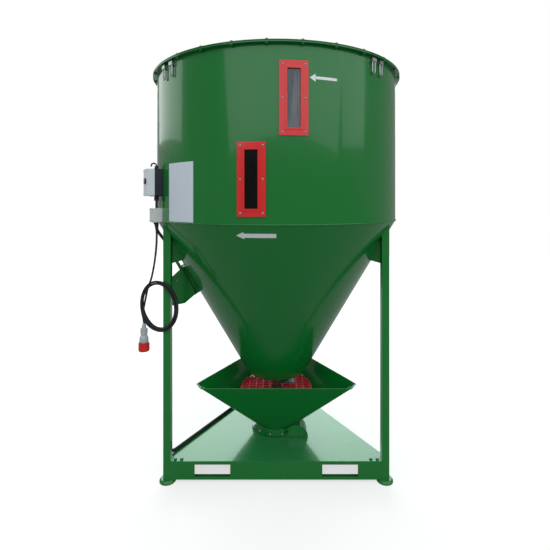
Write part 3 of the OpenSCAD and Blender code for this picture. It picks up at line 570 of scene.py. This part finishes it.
PLATE_TOP = 0.117
corners = np.array([(-0.551, -0.3455), (0.551, -0.3455), (-0.516, -0.3455), (0.516, -0.3455),
                    (-0.030, 0.600), (0.030, 0.600)])
corner_bolts = np.column_stack([corners, np.full(len(corners), PLATE_TOP)])
piece("plate_bolts", many(bolt(0.0085, 0.0085), standing(corner_bolts)), "frame",
      base_green)


def fillet(path, size, closed=False):
    """Weld bead: a round section carried along path, its size rippled along the way."""
    steps = np.arange(len(path)) + closed
    ripple = 1 + 0.10 * np.sin(steps * 2.1) + 0.06 * np.sin(steps * 0.73 + 1)
    carry = closed_sweep if closed else sweep
    return carry(path, ring(size, 8) * ripple[:, None, None], (0, 0, 1))


def straight(start, end, count):
    """Points evenly spread between two places."""
    return np.linspace(start, end, count)


LEG_INNER = 0.5721
leg_beads = [fillet(straight((x, -0.3600, PLATE_TOP), (x, -0.3240, PLATE_TOP), 18), 0.0032)
             for x in (-LEG_INNER, LEG_INNER)]
piece("leg_foot_welds", leg_beads, "frame", base_green)

# Fork slots: the cut edges of the front channel are ground, with a thin primed edge showing above
# and below each slot.
FRONT_FACE = -0.3622
primer = gloss_paint("primed_edge", srgb(74, 118, 82), 1.5, 0.1)
slot_edges = [sweep(straight((x0, FRONT_FACE, z), (x1, FRONT_FACE, z), 12), ring(0.0012, 6),
                    (0, 0, 1))
              for x0, x1 in ((-0.4425, -0.2495), (0.2495, 0.4425)) for z in (0.0315, 0.0995)]
piece("fork_slot_edges", slot_edges, "frame", primer)


# Hopper: a folded sheet funnel. A round bar stiffens its rim, and its neck is welded to a flange
# ring that is held to the plate by hexagon bolts, apart from where the clean-out housing stands.
RIM_BAR_HEIGHT = 0.473
rim_corners = np.array([(-421.5, -284.0), (421.5, -284.0), (456.7, -223.0), (35.2, 507.0),
                        (-35.2, 507.0), (-456.7, -223.0)]) / 1000
rim_loop = np.vstack([straight((*start, RIM_BAR_HEIGHT), (*end, RIM_BAR_HEIGHT), 24)[:-1]
                      for start, end in zip(rim_corners, np.roll(rim_corners, -1, axis=0))])
piece("hopper_rim_bar", [closed_sweep(rim_loop, ring(0.0030, 10), (0, 0, 1))], "frame",
      flat_green, loop=True)

neck_places = round_axis(np.radians(np.arange(12) * 30 + 15), 0.1395, PLATE_TOP + 0.018)
clear = (neck_places[:, 0] < 0.04) | (neck_places[:, 1] > 0.0)
piece("neck_bolts", many(bolt(0.0060, 0.0050), standing(neck_places[clear])), "frame",
      zinc.material)
neck_path = round_axis(np.linspace(0, 2 * np.pi, 240, endpoint=False), 0.1272, 0.1545)
piece("neck_weld", [fillet(neck_path, 0.0026, True)], "frame", flat_green,
      loop=True)

# Clean-out housing: a pressed cover, shaped as half a disc, on its round front, held by two
# knurled screws.
disc = lathe([(0.0, 0.0), (0.056, 0.0), (0.056, 0.0022), (0.048, 0.0030), (0.0, 0.0034)], 48)
half_disc = np.concatenate([disc[:, :25], disc[:, :1] * (0, 0, 1)], axis=1)
housing_front = np.array([[1, 0, 0, 0.119], [0, 0, -1, -0.132], [0, 1, 0, PLATE_TOP + 0.004]])
piece("cleanout_cover", list(placed(half_disc, [housing_front])), "frame",
      flat_green)
knurled = lathe([(0, 0.009), (0.005, 0.009), (0.0056, 0.004), (0.0056, 0), (0, 0)], 18)
knurled_places = [np.array([[1, 0, 0, x], [0, 0, -1, -0.1352], [0, 1, 0, 0.139]])
                  for x in (0.089, 0.149)]
piece("cleanout_screws", many([knurled], knurled_places), "frame", zinc.material)


# Grate: red bars that keep string and stones out, in two halves round the shaft, held by four zinc
# bolts with broad washers. Its paint is dull and rubbed.
def scuffed_paint(name, shade):
    """Dull red paint: darker with grime in the slow noise, paler where the fine noise rubs it."""
    f = Finish(name, Specular_IOR_Level=0.2)
    grime = f.ramp(f.noise(14.0, 4.0), 0.45, 0.8)
    rubbed = f.ramp(f.noise(90.0, 3.0), 0.6, 0.75)
    worn = f.blend(rubbed * 0.5, shade, tuple(0.6 * c + 0.25 for c in shade))
    return f.wear(Base_Color=f.blend(grime * 0.6, worn, (0.06, 0.02, 0.015)),
                  Roughness=0.62 + 0.2 * grime)


dress(scuffed_paint("grate_red_paint", srgb(196, 36, 48)), "grate")
holds = np.array([(-0.158, 0.126), (0.187, 0.157), (-0.165, -0.130), (0.165, -0.130)])
hold_places = np.column_stack([holds, np.full(4, 0.365)])
broad = lathe([(0, 0.0022), (0.0150, 0.0022), (0.0160, 0.0012), (0.0160, 0), (0, 0)], 24)
piece("grate_bolts", many(bolt(0.0085, 0.0095) + [broad], standing(hold_places)), "frame",
      zinc.material)


# Auger: bright worn steel, polished by the feed, with rust-brown stains. Its two bearings are cast
# housings, each held by two bolts.
def worn_steel(name, base, stain, lines=(1.0, 1.0, 14.0)):
    """Steel rubbed bright along fine lines, with stains where the slow noise is high."""
    f = Finish(name, Metallic=0.9)
    rub = f.noise(26.0, 6.0, lines)
    spots = f.ramp(f.noise(11.0, 6.0), 0.52, 0.75)
    return f.wear(Base_Color=f.blend(spots * 0.6, base, stain),
                  Roughness=0.24 + 0.25 * rub + 0.2 * spots, Normal=f.bump(rub, 0.0003))


auger_steel = worn_steel("auger_steel", srgb(150, 152, 152), srgb(104, 84, 66))
turned_steel = worn_steel("turned_steel", srgb(158, 160, 162), srgb(120, 112, 100), (1, 1, 40))
cast_iron = worn_steel("cast_housing", srgb(92, 96, 98), srgb(70, 62, 56), (1, 1, 1))
dress(auger_steel, "auger_flight", "auger_shaft")
dress(turned_steel, "auger_pulley", "motor_pulley")
dress(cast_iron, "top_bearing", "bottom_bearing")
bearing_places = [(0.0, 0.052, 0.104), (0.0, -0.052, 0.104), (0.0, 0.052, 2.199),
                  (0.0, -0.052, 2.199)]
piece("bearing_bolts", many(bolt(0.0062, 0.0060), standing(bearing_places, True)), "frame",
      zinc.material)


# Drive: a flat rubber belt under the plate, from the motor's turned pulley to the auger's. Fine
# ribs run along it.
def belt_rubber():
    """Black rubber with ribs: a wave across the belt's width and dust between the ribs."""
    f = Finish("belt_rubber")
    ribs = f.add("ShaderNodeMath", {"operation": "SINE"}, {0: f.height() * 1800.0})
    dust = f.ramp(f.noise(20.0, 5.0), 0.4, 0.8)
    return f.wear(Base_Color=f.blend(dust * 0.4, srgb(28, 28, 30), srgb(88, 84, 78)),
                  Roughness=0.55 + 0.3 * dust, Normal=f.bump(ribs, 0.0004))


dress(belt_rubber(), "drive_belt")

# Motor: an upright three-phase motor with cast fins, on a flange with four bolts. Its fan cowl has
# a guard of rings and spokes, and its terminal box a thin lid and four screws.
motor_blue = gloss_paint("motor_blue_paint", srgb(44, 84, 136), 1.6, 0.02)
dress(motor_blue, "motor", "terminal_box")
MOTOR_Y = 0.545
motor_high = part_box("motor")[1]
turn = np.linspace(0, 2 * np.pi, 72, endpoint=False)
guard_rings = []
for radius in (0.014, 0.024, 0.034, 0.044, 0.054):
    circle = np.stack([radius * np.cos(turn), MOTOR_Y + radius * np.sin(turn),
                       np.full(72, motor_high.z + 0.0004)], 1)
    guard_rings.append(closed_sweep(circle, ring(0.0019, 8), (0, 0, 1)))
piece("fan_cowl_rings", guard_rings, "frame", motor_blue, loop=True)
spokes = [sweep(straight((0.010 * math.cos(a), MOTOR_Y + 0.010 * math.sin(a), motor_high.z),
                         (0.058 * math.cos(a), MOTOR_Y + 0.058 * math.sin(a), motor_high.z), 6),
                ring(0.0015, 8), (0, 0, 1)) for a in np.arange(8) * np.pi / 4]
piece("fan_cowl_spokes", spokes, "frame", motor_blue)
box_low, box_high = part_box("terminal_box")
screw_y = np.array([box_low.y + 0.009, box_high.y - 0.009])
box_screws = [np.array([[0, 0, -1, box_low.x], [1, 0, 0, y], [0, -1, 0, z]], float)
              for y in screw_y for z in (box_low.z + 0.009, box_high.z - 0.009)]
small_dome = dome * 0.75
piece("terminal_box_screws", many([small_dome], box_screws), "frame", zinc.material)
lid_path = straight((box_low.x - 0.0006, box_low.y + 0.003, box_low.z + 0.003),
                    (box_low.x - 0.0006, box_high.y - 0.003, box_low.z + 0.003), 10)
plate_section = np.array([(0, -0.0008), (box_high.z - box_low.z - 0.006, -0.0008),
                          (box_high.z - box_low.z - 0.006, 0.0006), (0, 0.0006)])
piece("terminal_box_lid", [sweep(lid_path, plate_section, (0, 0, 1))], "frame",
      motor_blue)
flange_turn = np.radians([45, 135, 225, 315])
flange_places = np.stack([0.079 * np.cos(flange_turn), MOTOR_Y + 0.079 * np.sin(flange_turn),
                          np.full(4, PLATE_TOP + 0.012)], 1)
piece("motor_flange_bolts", many(bolt(0.0062, 0.0058), standing(flange_places)), "frame",
      zinc.material)


# Discharge: a sheet spout behind the left leg with a steel slide gate. Zinc screws hold its front
# and back, and a bar stiffens the lip of its mouth.
dress(auger_steel, "slide_gate")
chute_low, chute_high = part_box("chute")
spout_screws = []
for y, away in ((chute_low.y, -1), (chute_high.y, 1)):
    for x, z in ((-0.600, 1.045), (-0.640, 1.000), (-0.665, 0.935), (-0.600, 0.930)):
        spout_screws.append(np.array([[1, 0, 0, x], [0, 0, away, y], [0, -away, 0, z]], float))
piece("spout_screws", many([small_dome], spout_screws), "frame", zinc.material)
lip = sweep(straight((chute_low.x + 0.0020, chute_low.y + 0.004, chute_low.z + 0.0015),
                     (chute_low.x + 0.0020, chute_high.y - 0.004, chute_low.z + 0.0015), 16),
            ring(0.0019, 8), (0, 0, 1))
piece("spout_lip_bar", [lip], "frame", flat_green)


# Electric boxes: a dark switch base with a pale cover and a turning knob, a pale junction box
# below it, and short cables with glands between them, all screwed to the drum's left front.
BOX_AZIMUTH = -61.0
dark_moulding = plastic("dark_moulding", srgb(30, 34, 52))
pale_moulding = plastic("pale_moulding", srgb(224, 232, 236), 0.38)
white_moulding = plastic("white_moulding", srgb(214, 219, 220), 0.4)
knob_black = plastic("knob_black", srgb(22, 22, 24), 0.25)
dress(dark_moulding, "switch_base")
dress(pale_moulding, "switch_cover")
dress(white_moulding, "junction_box")
dress(knob_black, "switch_knob")
dress(cable_rubber, "box_links")


def on_box(across, heights, radius):
    """Frames on a box's flat front: across it, up and outwards, at radius from the axis."""
    base = on_drum([BOX_AZIMUTH], 0.0, 0.0)[0]
    frames = np.repeat(base[None], len(across), axis=0)
    frames[:, :, 3] = (np.outer(across, base[:, 0]) + np.outer(heights, base[:, 1])
                       + radius * base[:, 2])
    return frames


COVER_FACE = 0.800
JUNCTION_FACE = 0.770
GASKET_RADIUS = 0.7632
cover_screws = on_box([-0.043, 0.043, -0.043, 0.043], [1.561, 1.561, 1.687, 1.687], COVER_FACE)
piece("switch_cover_screws", many([small_dome], cover_screws), "frame", zinc.material)
lid_screws = on_box([-0.031, 0.031, -0.031, 0.031], [1.418, 1.418, 1.480, 1.480], JUNCTION_FACE)
piece("junction_box_screws", many([small_dome], lid_screws), "frame", zinc.material)
pointer = lathe([(0, 0.0022), (0.0026, 0.0022), (0.0030, 0.0016), (0.0030, 0), (0, 0)], 16)
piece("knob_pointer", many([pointer * (1, 4.2, 1)], on_box([0.0], [1.6313], COVER_FACE + 0.008)),
      "frame", white_moulding)
gasket_lip = np.array([(-0.0012, -0.0006), (0.0012, -0.0006), (0.0012, 0.0006),
                       (-0.0012, 0.0006)])
gasket = []
for z in (1.5512, 1.6968):
    ends = on_box([-0.0525, 0.0525], [z, z], GASKET_RADIUS)[:, :, 3]
    gasket.append(sweep(straight(*ends, 6), gasket_lip, (0, 0, 1)))
piece("switch_gasket", gasket, "frame", sealing)


# Conduit: corrugated black hose, 18 mm across, from the junction box down behind the left leg,
# along the plate's edge and up into the motor's terminal box, with a nut at each end and three
# zinc clips on the leg.
PITCH = 0.006
conduit_points = np.array([
    (-656, -345, 1411), (-656, -345, 1388), (-653, -337, 1368), (-645, -325, 1348),
    (-630, -314, 1325), (-613, -311, 1302), (-600, -312, 1280), (-593, -312.7, 1255),
    (-592, -312.7, 1230), (-592, -312.7, 190), (-590, -309, 155), (-583, -297, 133),
    (-572, -278, 126.5), (-400, 20, 126.5), (-200, 366, 126.5), (-150, 440, 128),
    (-125, 480, 135), (-105, 508, 150), (-92, 527, 166), (-90, 530, 178), (-90, 530, 187)]) / 1000
rough = smooth_path(conduit_points, 1200)
hose_length = float(np.linalg.norm(np.diff(rough, axis=0), axis=1).sum())
waves = int(hose_length / PITCH)
hose_path = smooth_path(conduit_points, waves * 4 + 1)
swell = 0.0080 + 0.0009 * np.cos(np.arange(len(hose_path)) * np.pi / 2)
hose_rubber = rubber("hose_plastic", srgb(30, 31, 34))
hose = piece("corrugated_hose", [sweep(hose_path, ring(1.0, 14) * swell[:, None, None],
             (0.866, -0.5, 0.0))], "frame", hose_rubber)
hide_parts("conduit")
HOSE_X, HOSE_Y, LEG_BACK = -0.592, -0.3126, -0.3214
CLIP_REACH = 0.0108
bow = np.linspace(0, np.pi, 16)
clip_strip = np.array([(-0.006, -0.0005), (0.006, -0.0005), (0.006, 0.0005), (-0.006, 0.0005)])
clips = []
for z in (0.45, 0.80, 1.12):
    clip = np.stack([HOSE_X + CLIP_REACH * np.cos(bow), HOSE_Y + 0.0098 * np.sin(bow),
                     np.full(16, z)], 1)
    clip = np.vstack([[HOSE_X + CLIP_REACH, LEG_BACK, z], clip,
                      [HOSE_X - CLIP_REACH, LEG_BACK, z]])
    clips.append(sweep(clip, clip_strip, (0, 0, 1)))
piece("hose_clips", clips, "frame", zinc.material)
hose_nut = lathe([(0.0092, 0.0), (0.0128, 0.0), (0.0128, -0.010), (0.0110, -0.014),
                  (0.0092, -0.014)], 6)
piece("hose_nuts", [hose_nut + (-0.656, -0.345, 1.4108), hose_nut + (-0.090, 0.530, 0.1868)],
      "frame", sealing, loop=True)


# Lid fittings: the hatch's collar and the inlet's spigot are welded to the lid, each with a
# rippled bead right round it.
def weld_ring(x, y, radius):
    """A bead round a tube that stands on the lid at x and y."""
    turn = np.linspace(0, 2 * np.pi, 360, endpoint=False)
    path = np.stack([x + radius * np.cos(turn), y + radius * np.sin(turn),
                     np.full(360, LID_TOP + 0.0004)], 1)
    return fillet(path, 0.0028, True)


piece("lid_weld_rings", [weld_ring(0.067, -0.324, 0.2508), weld_ring(-0.363, -0.194, 0.1458)],
      "frame", green_paint, loop=True)


# Studio: a pale floor and a white surround. A wide soft lamp hangs over the camera, one stands to
# each side, and one behind the mixer gives the plate its sheen. Only the camera sees the floor
# as white: near the mixer it keeps some shade for the shadow, and further out it is plain white.
floor_finish = Finish("studio_floor", Roughness=0.85)
rays = floor_finish.add("ShaderNodeLightPath", {}, {}, "Is Camera Ray")
bounced = floor_finish.blend(floor_finish.noise(1.5), (0.24, 0.24, 0.24), (0.28, 0.28, 0.28))
floor_finish.wear(Base_Color=floor_finish.blend(rays, bounced, (0.93, 0.93, 0.93)))
floor_mesh = bpy.data.meshes.new("studio_floor")
floor_mesh.from_pydata([(-9, -9, 0), (9, -9, 0), (9, 9, 0), (-9, 9, 0)], [], [(0, 1, 2, 3)])
floor_mesh.materials.append(floor_finish.material)
floor = bpy.data.objects.new("studio_floor", floor_mesh)
bpy.context.scene.collection.objects.link(floor)
distance = floor_finish.add("ShaderNodeVectorMath", {"operation": "LENGTH"},
                            {0: floor_finish.place}, "Value")
away_from_mixer = floor_finish.ramp(distance, 1.4, 3.6)
tree = floor_finish.tree
white = tree.nodes.new("ShaderNodeEmission")
white.inputs["Strength"].default_value = 1.18
share = tree.nodes.new("ShaderNodeMixShader")
tree.links.new((rays * (0.55 + 0.45 * away_from_mixer)).out, share.inputs[0])
tree.links.new(floor_finish.shader.outputs[0], share.inputs[1])
tree.links.new(white.outputs[0], share.inputs[2])
surface = next(n for n in tree.nodes if n.type == "OUTPUT_MATERIAL").inputs[0]
tree.links.new(share.outputs[0], surface)

world = bpy.data.worlds.new("studio")
bpy.context.scene.world = world
world.use_nodes = True
sky = world.node_tree
background = next(n for n in sky.nodes if n.type == "BACKGROUND")
path_kind = sky.nodes.new("ShaderNodeLightPath")
SKY_LIGHT, SKY_IN_GLOSS, SKY_SEEN = 0.66, 0.24, 1.0
seen_in_gloss = sky.nodes.new("ShaderNodeMapRange")
sky.links.new(path_kind.outputs["Is Glossy Ray"], seen_in_gloss.inputs["Value"])
seen_in_gloss.inputs["To Min"].default_value = SKY_LIGHT
seen_in_gloss.inputs["To Max"].default_value = SKY_IN_GLOSS
seen_direct = sky.nodes.new("ShaderNodeMath")
seen_direct.operation = "MULTIPLY_ADD"
sky.links.new(path_kind.outputs["Is Camera Ray"], seen_direct.inputs[0])
seen_direct.inputs[1].default_value = SKY_SEEN - SKY_LIGHT
sky.links.new(seen_in_gloss.outputs[0], seen_direct.inputs[2])
background.inputs[0].default_value = (1, 1, 1, 1)
sky.links.new(seen_direct.outputs[0], background.inputs[1])


def lamp(name, place, aim, size, power, colour):
    """A rectangular soft lamp at place that faces aim; size is its width and height."""
    light = bpy.data.lights.new(name, "AREA")
    light.shape = "RECTANGLE"
    light.size, light.size_y = size
    light.energy = power
    light.color = colour
    made = bpy.data.objects.new(name, light)
    made.location = place
    made.rotation_euler = (Vector(aim) - Vector(place)).to_track_quat("-Z", "Y").to_euler()
    made.visible_camera = False
    bpy.context.scene.collection.objects.link(made)


lamp("lamp_front", (0.6, -5.0, 4.3), (0, 0, 2.2), (12.0, 3.6), 135, (0.90, 0.97, 1.0))
lamp("lamp_left", (-4.1, 1.6, 3.4), (0, 0, 2.2), (4.0, 1.9), 27, (0.96, 1.0, 1.0))
lamp("lamp_right", (5.7, -2.2, 4.3), (0, 0, 2.2), (2.8, 3.6), 31, (0.90, 0.97, 1.0))
lamp("lamp_behind", (0, 4.2, 2.4), (0, 0, 0.6), (4.4, 2.6), 132, (0.76, 1.0, 0.91))


bpy.context.scene.view_settings.view_transform = "Standard"
